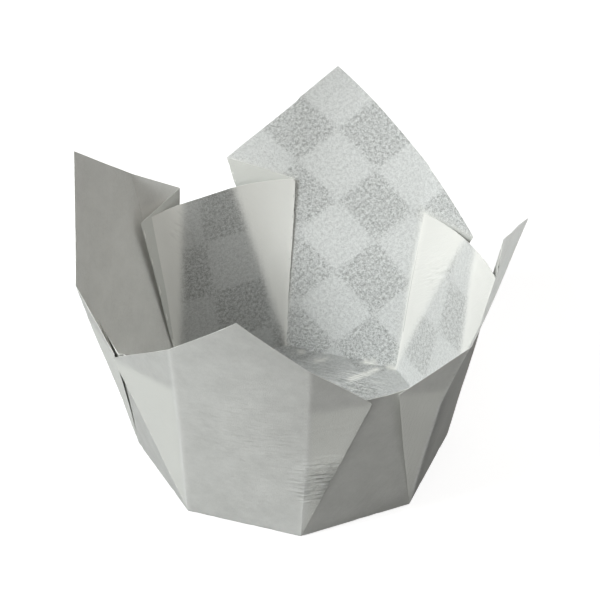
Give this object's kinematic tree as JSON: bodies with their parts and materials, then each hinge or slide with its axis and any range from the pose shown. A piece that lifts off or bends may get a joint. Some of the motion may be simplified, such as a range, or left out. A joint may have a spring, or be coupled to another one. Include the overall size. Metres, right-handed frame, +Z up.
{
  "type": "paper food cup",
  "caption": "Tulip baking cup folded from one square sheet of checkered white greaseproof paper.",
  "frame": {"origin": "middle of the flat octagonal base, on its underside", "axes": "+Z up through the open mouth, -Y out of one of the four low side walls, the petals at 45 degrees between the axes"},
  "size_m": [0.0756, 0.0725, 0.0557],
  "materials": {
    "paper": "matte"
  },
  "bodies": {
    "root": {"paper_cup": "paper"}
  },
  "joints": []
}
